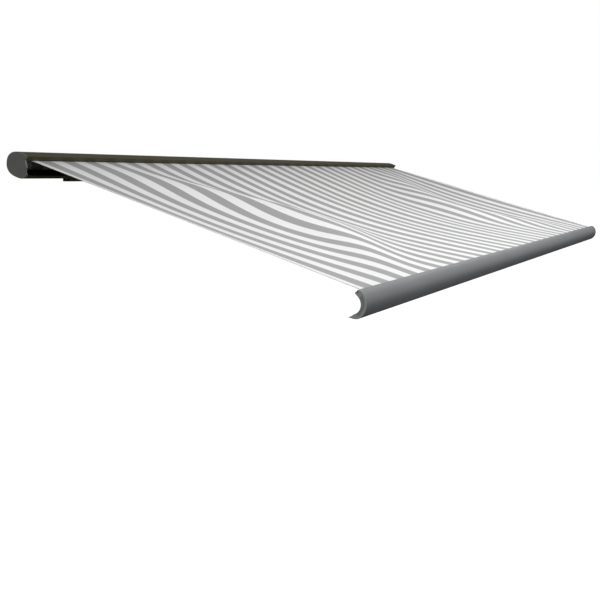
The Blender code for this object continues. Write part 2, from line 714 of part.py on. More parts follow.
def build_arm(pin, name, side, upper):
    """One arm half with its two knuckles. side is one for the left arm and minus one for the right."""
    first = 0.0 if upper else side * ARM_SHIFT
    last = side * ARM_SHIFT if upper else 0.0
    place = leaning(first, last)
    start = ARM_END + GAP
    end = ARM_LENGTH - ARM_END - GAP
    label = "upper_arm" if upper else "forearm"
    tube = prism([tube_outline(0), tube_outline(ARM_WALL)], start, end, place)
    piece(name + "_" + label, tube, ARM_GREY, pin)

    def block(low, high):
        return prism([tube_outline(0.0002)], low, high, place)

    def plug(low, high):
        return prism([tube_outline(ARM_WALL + GAP)], low, high, place)

    if upper:
        knuckle = piece(
            name + "_shoulder_knuckle", block(ARM_END - 0.016, ARM_END), BLACK_CAST, pin)
        join(knuckle, plug(ARM_END - 0.002, ARM_END + PLUG))
        join(knuckle, arm_end(0, 0, ARM_END - 0.004, ARM_WIDTH / 2, -KNUCKLE_HALF, KNUCKLE_HALF, side))
        cut(knuckle, prism([ring(0, 0, PIN_RADIUS + PIN_CLEARANCE, 16)], -0.05, 0.05, along_c))

        far = ARM_LENGTH - ARM_END
        fork = piece(name + "_elbow_fork", block(far, far + BLOCK), BLACK_CAST, pin)
        join(fork, plug(far + 0.001, far - PLUG))
        for low, high in ((FORK_GAP_HALF, KNUCKLE_HALF), (-KNUCKLE_HALF, -FORK_GAP_HALF)):
            join(fork, arm_end(ARM_SHIFT, ARM_LENGTH, far + 0.0012, ELBOW_RADIUS, low, high, side))
        cut(fork, prism([ring(0, ARM_LENGTH, PIN_RADIUS + GAP, 16)], -0.05, 0.05, along_c))

        head = KNUCKLE_HALF + GAP
        elbow = [
            (-head - 0.003, 0), (-head - 0.003, 0.011), (-head, 0.011), (-head, PIN_RADIUS),
            (head, PIN_RADIUS), (head, 0.011), (head + 0.003, 0.011), (head + 0.003, 0),
        ]
        piece(name + "_elbow_pin", moved(turned_solid(elbow, along_c), 0, ARM_LENGTH), STEEL, pin)
        return

    tongue = piece(name + "_elbow_tongue", block(ARM_END - BLOCK, ARM_END), BLACK_CAST, pin)
    join(tongue, plug(ARM_END - 0.001, ARM_END + PLUG))
    join(tongue, arm_end(ARM_SHIFT, 0, ARM_END - 0.0012, TONGUE_RADIUS, -TONGUE_HALF, TONGUE_HALF, side))
    cut(tongue, prism([ring(0, 0, PIN_RADIUS + PIN_CLEARANCE, 16)], -0.05, 0.05, along_c))

    inner = TONGUE_RADIUS + GAP
    start, end = (180, 320) if side > 0 else (220, 360)
    wrap = arc(0, 0, inner, start, end, 14) + arc(0, 0, inner + BELT_THICK, end, start, 14)
    piece(name + "_elbow_belt", prism([wrap], -BELT_HALF, BELT_HALF, along_c), RUBBER, pin)

    far = ARM_LENGTH - ARM_END
    wrist = piece(name + "_wrist_knuckle", block(far, far + BLOCK), BLACK_CAST, pin)
    join(wrist, plug(far + 0.001, far - PLUG))
    join(wrist, arm_end(0, ARM_LENGTH, far + 0.0012, WRIST_RADIUS, -WRIST_HALF, WRIST_HALF, side))
    cut(wrist, prism([ring(0, ARM_LENGTH, WRIST_PIN_RADIUS + PIN_CLEARANCE, 16)], -0.05, 0.05, along_c))


def build_arms(frame):
    wrists = {}
    for name, side in (("left", 1), ("right", -1)):
        shoulder = pivot(name + "_shoulder_axis", frame, -side * SHOULDER_X, SHOULDER_B, ARM_C,
                         side * OPEN_ANGLE)
        build_arm(shoulder, name, side, True)
        elbow = pivot(name + "_elbow_axis", shoulder, 0, ARM_LENGTH, 0, -2 * side * OPEN_ANGLE)
        build_arm(elbow, name, side, False)
        wrists[name] = pivot(name + "_wrist_axis", elbow, 0, ARM_LENGTH, 0, side * OPEN_ANGLE)
    return wrists


# Front bar: drawn from its foremost line, b runs out from there and c starts at the bar's own height

def bar_outline():
    outer = arc(BAR_OUTER_B, BAR_OUTER_C, BAR_OUTER_RADIUS, 62, -44, 26)
    belly = [(-0.0290, -0.0725), (-0.0380, -0.0765), (-0.0500, -0.0788), (-0.0630, -0.0802)]
    toe = [(-0.0780, -0.0816), (-0.0790, -0.0800), (-0.0672, -0.0720)]
    inner = arc(BAR_INNER_B, BAR_INNER_C, BAR_INNER_RADIUS, -55, 60, 22)
    hook = [(-0.0770, 0.0440), (-0.0790, 0.0460), (-0.0782, 0.0500), (-0.0740, GROOVE_C - GROOVE_SLOT_HALF)]
    slot = math.degrees(math.asin(GROOVE_SLOT_HALF / GROOVE_RADIUS))
    groove = arc(GROOVE_B, GROOVE_C, GROOVE_RADIUS, 180 + slot, 540 - slot, 14)
    prong = [(-0.0740, GROOVE_C + GROOVE_SLOT_HALF), (-0.0715, 0.0615), (-0.0640, BAR_TOP_C)]
    return outer + belly + toe + inner + hook + groove + prong


def bar_chambers():
    """Two long hollow chambers with a web between them."""
    out_r = BAR_OUTER_RADIUS - BAR_WALL
    in_r = BAR_INNER_RADIUS + BAR_WALL
    upper = (
        arc(BAR_OUTER_B, BAR_OUTER_C, out_r, 57, 2, 11) + arc(BAR_INNER_B, BAR_INNER_C, in_r, 2, 54, 10))
    lower = (
        arc(BAR_OUTER_B, BAR_OUTER_C, out_r, -2, -42, 10)
        + [(-0.0370, -0.0735), (-0.0500, -0.0757), (-0.0580, -0.0767), (-0.0610, -0.0735)]
        + arc(BAR_INNER_B, BAR_INNER_C, in_r, -54, -2, 10))
    return [upper, lower]


def cap_recess():
    """The sunk band on a bar cap's face, inside its raised rim."""
    return (
        arc(BAR_OUTER_B, BAR_OUTER_C, BAR_OUTER_RADIUS - CAP_RIM, 52, -40, 14)
        + arc(BAR_INNER_B, BAR_INNER_C, BAR_INNER_RADIUS + CAP_RIM / 2, -46, 50, 14))


def bar_place(b, c, x):
    return Vector((x, -(b + BAR_REST), c + BAR_C))


def at_wrist(bm):
    """Moves a solid drawn in the sloping frame so that its origin is the left wrist's axis."""
    return moved(bm, SHOULDER_X, -WRIST_B, -ARM_C)


def build_front_bar(wrist):
    cap_thick = 0.006
    bar_half = WIDTH / 2 - cap_thick - GAP
    loops = [bar_outline()] + bar_chambers()
    piece("front_bar", at_wrist(prism(loops, -bar_half, bar_half, bar_place)), BAR_GREY, wrist)

    for name, side in (("left", -1), ("right", 1)):
        face = side * WIDTH / 2
        inside = side * (WIDTH / 2 - cap_thick)
        cap = piece("front_bar_cap_" + name, at_wrist(prism([bar_outline()], face, inside, bar_place)),
                    CAP_GREY, wrist)
        cut(cap, at_wrist(prism([cap_recess()], face + side * 0.01, face - side * CAP_RECESS, bar_place)))
        for chamber in bar_chambers():
            shrink = inset(chamber, 0.0006)
            join(cap, at_wrist(prism([shrink], inside + side * 0.001, inside - side * 0.020, bar_place)))

    rod = ring(GROOVE_B, GROOVE_C, KEDER_RADIUS, 12)
    keder = prism([rod], -FABRIC_HALF, FABRIC_HALF, bar_place)
    piece("front_keder", at_wrist(keder), RUBBER, wrist)

    for name, side in (("left", -1), ("right", 1)):
        build_wrist_bracket(wrist, name, side * SHOULDER_X)
    build_wrist_bolts(wrist)


def inset(loop, distance):
    """A loop drawn in towards its own inside by a small distance, vertex by vertex."""
    count = len(loop)
    area = sum(loop[i - 1][0] * loop[i][1] - loop[i][0] * loop[i - 1][1] for i in range(count))
    sign = 1 if area > 0 else -1
    out = []
    for i in range(count):
        before = Vector(loop[i - 1])
        here = Vector(loop[i])
        after = Vector(loop[(i + 1) % count])
        first = (here - before).normalized()
        second = (after - here).normalized()
        normal = Vector((-(first.y + second.y), first.x + second.x)).normalized()
        spread = max(0.5, normal.dot(Vector((-first.y, first.x))))
        moved_to = here + sign * normal * distance / spread
        out.append((moved_to.x, moved_to.y))
    return out


def build_wrist_bracket(wrist, name, x):
    """A fork on the inside of the front bar that holds the forearm's end."""
    low = ARM_C - WRIST_HALF - FORK_CLEARANCE
    high = ARM_C + WRIST_HALF + FORK_CLEARANCE
    centre = BAR_REST + BAR_INNER_B
    middle = BAR_INNER_C + BAR_C
    radius = BAR_INNER_RADIUS - GAP
    top = high + FORK_PLATE
    bottom = low - FORK_PLATE
    a0 = math.degrees(math.asin((bottom - middle) / radius))
    a1 = math.degrees(math.asin((top - middle) / radius))
    flat = WRIST_B + WRIST_FLAT
    seat = arc(centre, middle, radius, a0, a1, 12)
    bracket = piece(
        "wrist_bracket_" + name,
        at_wrist(prism([seat + [(flat, top), (flat, bottom)]], x - FLANGE_HALF, x + FLANGE_HALF, along_x)),
        BLACK_CAST, wrist)
    eye = ring(x, WRIST_B, WRIST_RADIUS)
    root = [(x - CHEEK_HALF, flat + 0.002), (x + CHEEK_HALF, flat + 0.002)]
    for start, end in ((bottom, low), (high, top)):
        join(bracket, at_wrist(prism([hull(eye + root)], start, end, along_c)))
    cut(bracket, at_wrist(prism([ring(x, WRIST_B, WRIST_PIN_RADIUS + GAP, 16)], -0.1, 0.1, along_c)))
    for shift in (-WRIST_BOLT_OUT, WRIST_BOLT_OUT):
        hole = ring(x + shift, ARM_C + 0.008, 0.0036, 12)
        cut(bracket, at_wrist(prism([hole], flat - 0.02, flat + 0.05, along_b)))
    pin_top = top + GAP
    pin = [
        (bottom - 0.003, 0), (bottom - 0.003, WRIST_PIN_RADIUS), (pin_top, WRIST_PIN_RADIUS),
        (pin_top, 0.0095), (pin_top + 0.003, 0.0095), (pin_top + 0.003, 0),
    ]
    turned_pin = moved(turned_solid(pin, along_c), x, WRIST_B)
    piece("wrist_pin_" + name, at_wrist(turned_pin), STEEL, wrist)


def build_wrist_bolts(wrist):
    """Screws that hold the wrist brackets to the inside of the front bar."""
    flat = WRIST_B + WRIST_FLAT
    reach = BAR_REST + BAR_INNER_B + BAR_INNER_RADIUS - 0.0035
    for name, side in (("left", -1), ("right", 1)):
        for number, shift in enumerate((-WRIST_BOLT_OUT, WRIST_BOLT_OUT)):
            profile = [
                (flat - 0.005, 0), (flat - 0.005, 0.0060), (flat - GAP, 0.0060), (flat - GAP, 0.0033),
                (reach, 0.0033), (reach, 0),
            ]
            bolt = moved(turned_solid(profile, along_b, 12), side * SHOULDER_X + shift, 0, ARM_C + 0.008)
            piece("wrist_bolt_%s_%d" % (name, number + 1), at_wrist(bolt), STEEL, wrist)


# Fabric

def ridge_line(share):
    """How far in from the side the cover is held up, by the arm under it, at a share of the way out."""
    return RIDGE_START + RIDGE_BEND * max(0.0, math.sin(math.pi * share ** 1.2)) ** 1.2


def sag_at(x, share):
    """How far the cover hangs below its straight line: the arms hold it up and it sags between them."""
    rise = 1 - math.exp((abs(x) - FABRIC_HALF) / 0.5)
    away = WIDTH / 2 - abs(x) - ridge_line(share)
    ridge = math.exp(-(away / (0.34 if away > 0 else 0.28)) ** 2)
    hold = LEFT_HOLD if x < 0 else RIGHT_HOLD
    outward = max(0.0, math.sin(math.pi * share))
    ripple = RIPPLE * math.sin(2 * math.pi * x / 0.83 + 2.2 * share)
    return outward * rise * (SAG * (1 - hold * ridge) + ripple * (1 - ridge))


def build_fabric(frame):
    start_b = ROLLER_B
    start_c = ROLLER_C + ROLL_RADIUS + GAP + FABRIC_THICK / 2
    end_b = BAR_REST + GROOVE_B - KEDER_RADIUS - GAP
    end_c = GROOVE_C + BAR_C
    free_b = end_b - FABRIC_LEAD
    inside = [start_b + (LIP_B - start_b) * j / 3 for j in range(3)]
    outside = [LIP_B + (free_b - LIP_B) * j / (FABRIC_ROWS - 1) for j in range(FABRIC_ROWS)]
    distances = inside + outside + [end_b]
    columns = FABRIC_COLUMNS
    bm = bmesh.new()
    sheets = []
    for side in (0.5, -0.5):
        grid = []
        for b in distances:
            share = min(1.0, max(0.0, (b - LIP_B) / (free_b - LIP_B)))
            c = start_c + (end_c - start_c) * (b - start_b) / (end_b - start_b)
            row = []
            for i in range(columns + 1):
                x = -FABRIC_HALF + 2 * FABRIC_HALF * i / columns
                row.append(bm.verts.new(along_x(b, c - sag_at(x, share) + side * FABRIC_THICK, x)))
            grid.append(row)
        sheets.append(grid)
    top, bottom = sheets
    last = len(top) - 1
    for j in range(last):
        for i in range(columns):
            bm.faces.new((top[j][i], top[j][i + 1], top[j + 1][i + 1], top[j + 1][i]))
            bm.faces.new((bottom[j][i], bottom[j + 1][i], bottom[j + 1][i + 1], bottom[j][i + 1]))
    for i in range(columns):
        bm.faces.new((top[0][i], bottom[0][i], bottom[0][i + 1], top[0][i + 1]))
        bm.faces.new((top[last][i], top[last][i + 1], bottom[last][i + 1], bottom[last][i]))
    for j in range(last):
        bm.faces.new((top[j][0], top[j + 1][0], bottom[j + 1][0], bottom[j][0]))
        bm.faces.new((top[j][columns], bottom[j][columns], bottom[j + 1][columns], top[j + 1][columns]))
    bmesh.ops.recalc_face_normals(bm, faces=bm.faces[:])
    piece("fabric_cover", bm, CLOTH, frame)


def build_awning():
    clear_scene()
    frame = bpy.data.objects.new("sloping_frame", None)
    bpy.context.scene.collection.objects.link(frame)
    frame.location = (0, -AXIS_FROM_WALL, 0)
    frame.rotation_euler = (PITCH, 0, 0)
    build_wall_brackets()
    build_cassette(frame)
    build_end_caps(frame)
    build_roller(frame)
    build_shoulder(frame, "left", -1)
    build_shoulder(frame, "right", 1)
    build_shoulder_bolts(frame)
    wrists = build_arms(frame)
    build_front_bar(wrists["left"])
    build_fabric(frame)


build_awning()
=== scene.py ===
import json
import math

import bpy
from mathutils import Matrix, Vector


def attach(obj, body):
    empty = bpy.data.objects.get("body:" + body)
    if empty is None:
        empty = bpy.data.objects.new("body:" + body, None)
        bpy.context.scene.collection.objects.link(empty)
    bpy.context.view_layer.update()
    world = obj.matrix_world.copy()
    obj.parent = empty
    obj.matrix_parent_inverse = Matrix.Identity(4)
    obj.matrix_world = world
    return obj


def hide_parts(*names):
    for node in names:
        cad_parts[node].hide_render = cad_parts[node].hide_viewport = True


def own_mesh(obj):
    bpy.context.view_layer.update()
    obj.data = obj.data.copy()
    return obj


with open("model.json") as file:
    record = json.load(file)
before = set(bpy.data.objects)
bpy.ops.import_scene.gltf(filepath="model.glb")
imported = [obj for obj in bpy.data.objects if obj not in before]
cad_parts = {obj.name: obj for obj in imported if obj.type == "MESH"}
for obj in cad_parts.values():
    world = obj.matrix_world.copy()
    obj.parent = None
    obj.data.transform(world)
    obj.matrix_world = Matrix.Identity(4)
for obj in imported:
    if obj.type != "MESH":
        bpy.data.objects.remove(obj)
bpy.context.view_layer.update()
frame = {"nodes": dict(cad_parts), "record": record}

# Sizes in metres. The part is drawn in a sloping frame: x runs along the wall, b runs out down the slope
# and c is square to it. Its zero line lies AXIS_FROM_WALL in front of the wall.

WIDTH = 5.500
PITCH = math.radians(15.6)
AXIS_FROM_WALL = 0.160
TRAVEL = 2.433
SHELL_HALF = WIDTH / 2 - 0.0103
LIP_B = 0.0365
HAIR_GAP = 0.0001

ROLLER_B = -0.062
ROLLER_TOP_C = 0.0392
GROOVE_B = TRAVEL + 0.1225 - 0.066
GROOVE_C = 0.056
COVER_END_B = GROOVE_B - 0.0033
COVER_LEAD = 0.014
COVER_FREE_B = COVER_END_B - COVER_LEAD
COVER_HALF = WIDTH / 2 - 0.052
COVER_SIDES = (-COVER_HALF, COVER_HALF)
COVER_THICK = 0.0007

RIDGE_START = 0.590
RIDGE_BEND = 0.730
RIDGE_OUTER_SPREAD = 0.28
RIDGE_INNER_SPREAD = 0.34
LEFT_HOLD = 0.95
RIGHT_HOLD = 0.77
RIPPLE = 0.005
RIPPLE_LENGTH = 0.83
SAG = 0.095
EDGE_PULL = 0.5

STRIPE_PERIOD = 0.035 * WIDTH
STRIPE_START = 0.028
STRIPE_SHARPNESS = 40.0
RIB_SPACING = 0.018
THREAD_SPACING = 0.0011
# Painted shade on the cloth by the hood: the distance out at which it is darkest, and how far out it fades.
HOOD_SHADE_START = AXIS_FROM_WALL - 0.05
HOOD_SHADE_REACH = 0.62

HEM_WIDTH = 0.020
HEM_THICK = 0.0004
# Width of the near-black strip painted along the hem's outer edge as the shade there.
EDGE_SHADE_WIDTH = 0.0045
SEAM_ROWS = (0.0065, 0.0165)
STITCH_HALF = 0.0007
STITCH_LENGTH = 0.006
CAP_RIM_DEPTH = 0.0008

# A rubber seal before the hood's lip, made tall so that its dark face stands in for the shadow line under
# the lip.
LIP_STRIP_CENTRE = (LIP_B + 0.0013, 0.0442)
LIP_STRIP_SIZE = (2 * SHELL_HALF - 0.002, 0.0018, 0.0074)

BRACKET_X = WIDTH / 2 - 0.565
BRACKET_PLATE = 0.0080
ANCHOR_SPREAD = 0.060
ANCHOR_HEIGHTS = (0.068, -0.088)
WASHER_RADIUS = 0.0105
WASHER_THICK = 0.0016
HEAD_RADIUS = 0.0088
HEAD_THICK = 0.0062

ARM_C = -0.020
ARM_X = WIDTH / 2 - 0.580
SHOULDER_B = 0.007
SHOULDER_RING_C = ARM_C - 0.0312
SHOULDER_PIN_RADIUS = 0.008
WRIST_B = 2.482
WRIST_RING_C = ARM_C - 0.0280
WRIST_PIN_RADIUS = 0.006
RING_WIDTH = 0.0026
RING_THICK = 0.0011

FLOOR_Z = -2.6
FLOOR_SIZE = 300
CAMERA_BESIDE = 0.5823 * WIDTH
CAMERA_BEFORE = 0.7411 * WIDTH
CAMERA_BELOW = 0.011 * WIDTH
CAMERA_TILT_DOWN = 0.1636
CAMERA_TURN = -1.0151


def deselect():
    if bpy.context.object and bpy.context.object.mode != "OBJECT":
        bpy.ops.object.mode_set(mode="OBJECT")
    bpy.ops.object.select_all(action="DESELECT")


def settle(piece, sloped=True):
    """Puts a piece drawn in the sloping frame in its place, and that place into its mesh."""
    deselect()
    piece.select_set(True)
    bpy.context.view_layer.objects.active = piece
    bpy.ops.object.transform_apply(location=True, rotation=True, scale=True)
    if sloped:
        piece.rotation_euler = (PITCH, 0, 0)
        piece.location = (0, -AXIS_FROM_WALL, 0)
        bpy.ops.object.transform_apply(location=True, rotation=True, scale=True)


# Materials

def new_material(name):
    material = bpy.data.materials.new(name)
    material.use_nodes = True
    nodes = material.node_tree.nodes
    return material, nodes, material.node_tree.links, nodes["Principled BSDF"]


def maths(nodes, links, operation, *values):
    node = nodes.new("ShaderNodeMath")
    node.operation = operation
    for socket, value in zip(node.inputs, values):
        if isinstance(value, (int, float)):
            socket.default_value = value
        else:
            links.new(value, socket)
    return node.outputs[0]


def mixed(nodes, links, share, first, second, blend="MIX"):
    node = nodes.new("ShaderNodeMix")
    node.data_type = "RGBA"
    node.blend_type = blend
    for socket, value in ((node.inputs[0], share), (node.inputs[6], first), (node.inputs[7], second)):
        if isinstance(value, tuple):
            socket.default_value = (*value, 1.0)
        elif isinstance(value, (int, float)):
            socket.default_value = value
        else:
            links.new(value, socket)
    return node.outputs[2]


def noise(nodes, links, place, scale, detail=3.0):
    node = nodes.new("ShaderNodeTexNoise")
    node.inputs["Scale"].default_value = scale
    node.inputs["Detail"].default_value = detail
    node.inputs["Roughness"].default_value = 0.6
    links.new(place, node.inputs["Vector"])
    return node.outputs[0]


def ramp(nodes, links, value, stops):
    """Colours along a value from 0 to 1; stops are (position, colour) in rising order."""
    node = nodes.new("ShaderNodeValToRGB")
    links.new(value, node.inputs[0])
    elements = node.color_ramp.elements
    for element, (position, colour) in zip(elements, (stops[0], stops[-1])):
        element.position, element.color = position, (*colour, 1)
    for position, colour in stops[1:-1]:
        elements.new(position).color = (*colour, 1)
    return node.outputs[0]


def bump(nodes, links, shader, height, distance, strength):
    node = nodes.new("ShaderNodeBump")
    node.inputs["Distance"].default_value = distance
    node.inputs["Strength"].default_value = strength
    links.new(height, node.inputs["Height"])
    links.new(node.outputs[0], shader.inputs["Normal"])


def object_place(nodes):
    return nodes.new("ShaderNodeTexCoord").outputs["Object"]


def axes_of(nodes, links, place):
    split = nodes.new("ShaderNodeSeparateXYZ")
    links.new(place, split.inputs[0])
    return split.outputs


def toned(colour, share):
    return tuple(min(1.0, value * share) for value in colour)


def powder_coat(name, colour, roughness, metallic=0.0, grain=900, specular=0.5):
    """Fine textured paint: an even colour with a faint cloud, a fine grain and a satin gloss."""
    material, nodes, links, shader = new_material(name)
    place = object_place(nodes)
    cloud = noise(nodes, links, place, 3.0, 2.0)
    tone = mixed(nodes, links, cloud, toned(colour, 0.90), toned(colour, 1.08))
    links.new(tone, shader.inputs["Base Color"])
    fine = noise(nodes, links, place, grain, 2.0)
    shine = maths(nodes, links, "MULTIPLY_ADD", fine, 0.10, roughness - 0.05)
    links.new(shine, shader.inputs["Roughness"])
    shader.inputs["Metallic"].default_value = metallic
    shader.inputs["Specular IOR Level"].default_value = specular
    bump(nodes, links, shader, fine, 0.00012, 0.5)
    return material


def moulded_plastic(name, colour, roughness, rim_highlight=None):
    """Fine grained plastic; a lighter rim colour goes on whatever stands out furthest at the awning's two
    ends, a painted highlight on the raised rim.
    """
    material, nodes, links, shader = new_material(name)
    place = object_place(nodes)
    cloud = noise(nodes, links, place, 12.0)
    tone = mixed(nodes, links, cloud, toned(colour, 0.92), toned(colour, 1.06))
    # Painted highlight: the outermost 0.8 mm at each end, the raised rim, gets the lighter colour.
    if rim_highlight:
        outward = maths(nodes, links, "ABSOLUTE", axes_of(nodes, links, place)[0])
        raised = maths(nodes, links, "GREATER_THAN", outward, WIDTH / 2 - CAP_RIM_DEPTH)
        tone = mixed(nodes, links, raised, tone, rim_highlight)
    links.new(tone, shader.inputs["Base Color"])
    fine = noise(nodes, links, place, 1400, 2.0)
    shader.inputs["Roughness"].default_value = roughness
    bump(nodes, links, shader, fine, 0.00010, 0.4)
    return material


def turned_steel(name, colour, roughness):
    """Steel with the fine lines of the lathe."""
    material, nodes, links, shader = new_material(name)
    stretch = nodes.new("ShaderNodeMapping")
    stretch.inputs["Scale"].default_value = (1.0, 1.0, 30.0)
    links.new(object_place(nodes), stretch.inputs["Vector"])
    lines = noise(nodes, links, stretch.outputs[0], 120.0, 4.0)
    links.new(mixed(nodes, links, lines, toned(colour, 0.85), colour), shader.inputs["Base Color"])
    shader.inputs["Metallic"].default_value = 1.0
    shader.inputs["Roughness"].default_value = roughness
    bump(nodes, links, shader, lines, 0.00005, 0.3)
    return material


def galvanised(name, dark, bright):
    """Weathered zinc coat with its spangle."""
    material, nodes, links, shader = new_material(name)
    spangle = nodes.new("ShaderNodeTexVoronoi")
    spangle.inputs["Scale"].default_value = 140
    links.new(object_place(nodes), spangle.inputs["Vector"])
    tone = nodes.new("ShaderNodeRGBToBW")
    links.new(spangle.outputs["Color"], tone.inputs[0])
    links.new(mixed(nodes, links, tone.outputs[0], (dark,) * 3, (bright,) * 3), shader.inputs["Base Color"])
    shader.inputs["Metallic"].default_value = 0.4
    shader.inputs["Roughness"].default_value = 0.55
    return material


def rubber(name, colour):
    material, nodes, links, shader = new_material(name)
    fine = noise(nodes, links, object_place(nodes), 500)
    links.new(mixed(nodes, links, fine, toned(colour, 0.7), colour), shader.inputs["Base Color"])
    shader.inputs["Roughness"].default_value = 0.8
    bump(nodes, links, shader, fine, 0.0001, 0.5)
    return material


def cloth_gloss(shader):
    shader.inputs["Roughness"].default_value = 0.88
    shader.inputs["Sheen Weight"].default_value = 0.15
    shader.inputs["Sheen Roughness"].default_value = 0.5


def striped_canvas(name, grey, white):
    """Woven acrylic in stripes across the width, with threads, faint cross ribs and painted shade that
    darkens it towards and under the hood.
    """
    material, nodes, links, shader = new_material(name)
    place = object_place(nodes)
    axes = axes_of(nodes, links, place)
    across = axes[0]
    out = maths(nodes, links, "MULTIPLY", axes[1], -1.0)

    count = maths(
        nodes, links, "MULTIPLY_ADD", across, 1 / STRIPE_PERIOD,
        WIDTH / 2 / STRIPE_PERIOD - STRIPE_START * WIDTH / STRIPE_PERIOD)
    wave = maths(nodes, links, "PINGPONG", count, 0.5)
    band = maths(nodes, links, "MULTIPLY_ADD", wave, STRIPE_SHARPNESS, 0.5 - STRIPE_SHARPNESS * 0.25)
    band.node.use_clamp = True
    colour = mixed(nodes, links, band, grey, white)

    cloud = noise(nodes, links, place, 2.2)
    soil = ramp(nodes, links, cloud, [(0.3, (0.955, 0.955, 0.95)), (0.7, (1.0, 1.0, 1.0))])
    colour = mixed(nodes, links, 1.0, colour, soil, "MULTIPLY")

    ribs = maths(nodes, links, "SINE", maths(nodes, links, "MULTIPLY", out, 2 * math.pi / RIB_SPACING))
    rib_tone = ramp(nodes, links, maths(nodes, links, "MULTIPLY_ADD", ribs, 0.5, 0.5), [
        (0.0, (0.965, 0.965, 0.965)), (1.0, (1.0, 1.0, 1.0))])
    colour = mixed(nodes, links, 1.0, colour, rib_tone, "MULTIPLY")

    # Painted shade for the hood's shadow: the cloth darkens towards the hood's lip and drops to half its
    # colour under the hood and on the roll, fading out some 0.6 m beyond the lip.
    past_hood = maths(nodes, links, "MULTIPLY_ADD", out, 1 / HOOD_SHADE_REACH, -HOOD_SHADE_START / HOOD_SHADE_REACH)
    shade_edge = maths(nodes, links, "MULTIPLY_ADD", cloud, 0.16, past_hood)
    painted_hood_shade = ramp(nodes, links, shade_edge, [
        (0.08, (0.50, 0.49, 0.48)), (0.24, (0.80, 0.79, 0.79)), (0.50, (0.93, 0.93, 0.93)),
        (1.0, (1.0, 1.0, 1.0))])
    colour = mixed(nodes, links, 1.0, colour, painted_hood_shade, "MULTIPLY")
    links.new(colour, shader.inputs["Base Color"])

    warp, weft = (
        maths(nodes, links, "SINE", maths(nodes, links, "MULTIPLY", way, 2 * math.pi / THREAD_SPACING))
        for way in (across, out))
    threads = maths(nodes, links, "MULTIPLY", warp, weft)
    height = maths(nodes, links, "MULTIPLY_ADD", ribs, 0.25, threads)
    bump(nodes, links, shader, height, 0.00025, 0.35)
    cloth_gloss(shader)
    return material


def stitched_hem(name):
    """The folded edge of the cloth: white weave, two rows of stitches and a near-black outermost strip that
    is painted shade along the cloth's edge.
    """
    material, nodes, links, shader = new_material(name)
    place = object_place(nodes)
    axes = axes_of(nodes, links, place)
    outward = maths(nodes, links, "ABSOLUTE", axes[0])
    stitches = None
    for distance in SEAM_ROWS:
        off = maths(nodes, links, "SUBTRACT", outward, COVER_HALF - distance)
        row = maths(nodes, links, "LESS_THAN", maths(nodes, links, "ABSOLUTE", off), STITCH_HALF)
        stitches = row if stitches is None else maths(nodes, links, "MAXIMUM", stitches, row)
    dash = maths(nodes, links, "SINE", maths(nodes, links, "MULTIPLY", axes[1], 2 * math.pi / STITCH_LENGTH))
    dash = maths(nodes, links, "GREATER_THAN", dash, -0.4)
    stitches = maths(nodes, links, "MULTIPLY", stitches, dash)
    cloud = noise(nodes, links, place, 6.0)
    white = mixed(nodes, links, cloud, (0.80, 0.80, 0.80), (0.86, 0.86, 0.86))
    tone = mixed(nodes, links, stitches, white, (0.42, 0.42, 0.43))
    # Painted shade: the outermost strip is painted near black for the shade along the cloth's edge.
    edge_shade = maths(nodes, links, "GREATER_THAN", outward, COVER_HALF - EDGE_SHADE_WIDTH)
    links.new(mixed(nodes, links, edge_shade, tone, (0.06, 0.06, 0.063)), shader.inputs["Base Color"])
    fine = noise(nodes, links, place, 1100, 2.0)
    bump(nodes, links, shader, maths(nodes, links, "ADD", fine, stitches), 0.0002, 0.5)
    cloth_gloss(shader)
    return material


canvas = striped_canvas("striped_canvas", grey=(0.355, 0.355, 0.358), white=(0.86, 0.86, 0.86))
hem_cloth = stitched_hem("stitched_hem")
steel = turned_steel("turned_steel", (0.60, 0.60, 0.60), 0.30)
black_steel = turned_steel("blackened_spring_steel", (0.05, 0.05, 0.05), 0.4)
black_rubber = rubber("black_rubber", (0.022, 0.022, 0.022))
# The bar caps' lighter rim colour is a painted highlight on their raised rim.
bar_cap_grey = moulded_plastic("bar_cap_grey_green", (0.250, 0.274, 0.264), 0.60, rim_highlight=(0.375, 0.385, 0.38))

FINISHES = {
    "anthracite": powder_coat("anthracite_powder_coat", (0.070, 0.061, 0.032), 0.62, specular=0.25),
    "bar_grey": powder_coat("grey_powder_coat", (0.208, 0.216, 0.224), 0.55, specular=0.30),
    "cap_grey": moulded_plastic("cap_grey_green", (0.155, 0.160, 0.142), 0.60),
    "black_cast": powder_coat("black_coated_casting", (0.014, 0.014, 0.015), 0.50, metallic=0.1, grain=400),
    "arm_grey": powder_coat("arm_powder_coat", (0.055, 0.057, 0.057), 0.45, metallic=0.15),
    "steel": steel,
    "zinc": galvanised("galvanised_tube", dark=0.147, bright=0.217),
    "cloth": canvas,
    "rubber": black_rubber,
    "black_plastic": moulded_plastic("black_plastic", (0.025, 0.025, 0.026), 0.5),
}

slot_of_node = {entry["node"]: entry["material_slot"] for entry in frame["record"]["subparts"]}
for node, part in frame["nodes"].items():
    finish = bar_cap_grey if node.startswith("front_bar_cap") else FINISHES[slot_of_node[node]]
    for material_slot in part.material_slots:
        material_slot.material = finish
    if not part.material_slots:
        part.data.materials.append(finish)


# Awning cloth

def ridge_line(share):
    """How far in from the side the cloth is held up, by the arm under it, at a share of the way out."""
    return RIDGE_START + RIDGE_BEND * max(0.0, math.sin(math.pi * share ** 1.2)) ** 1.2


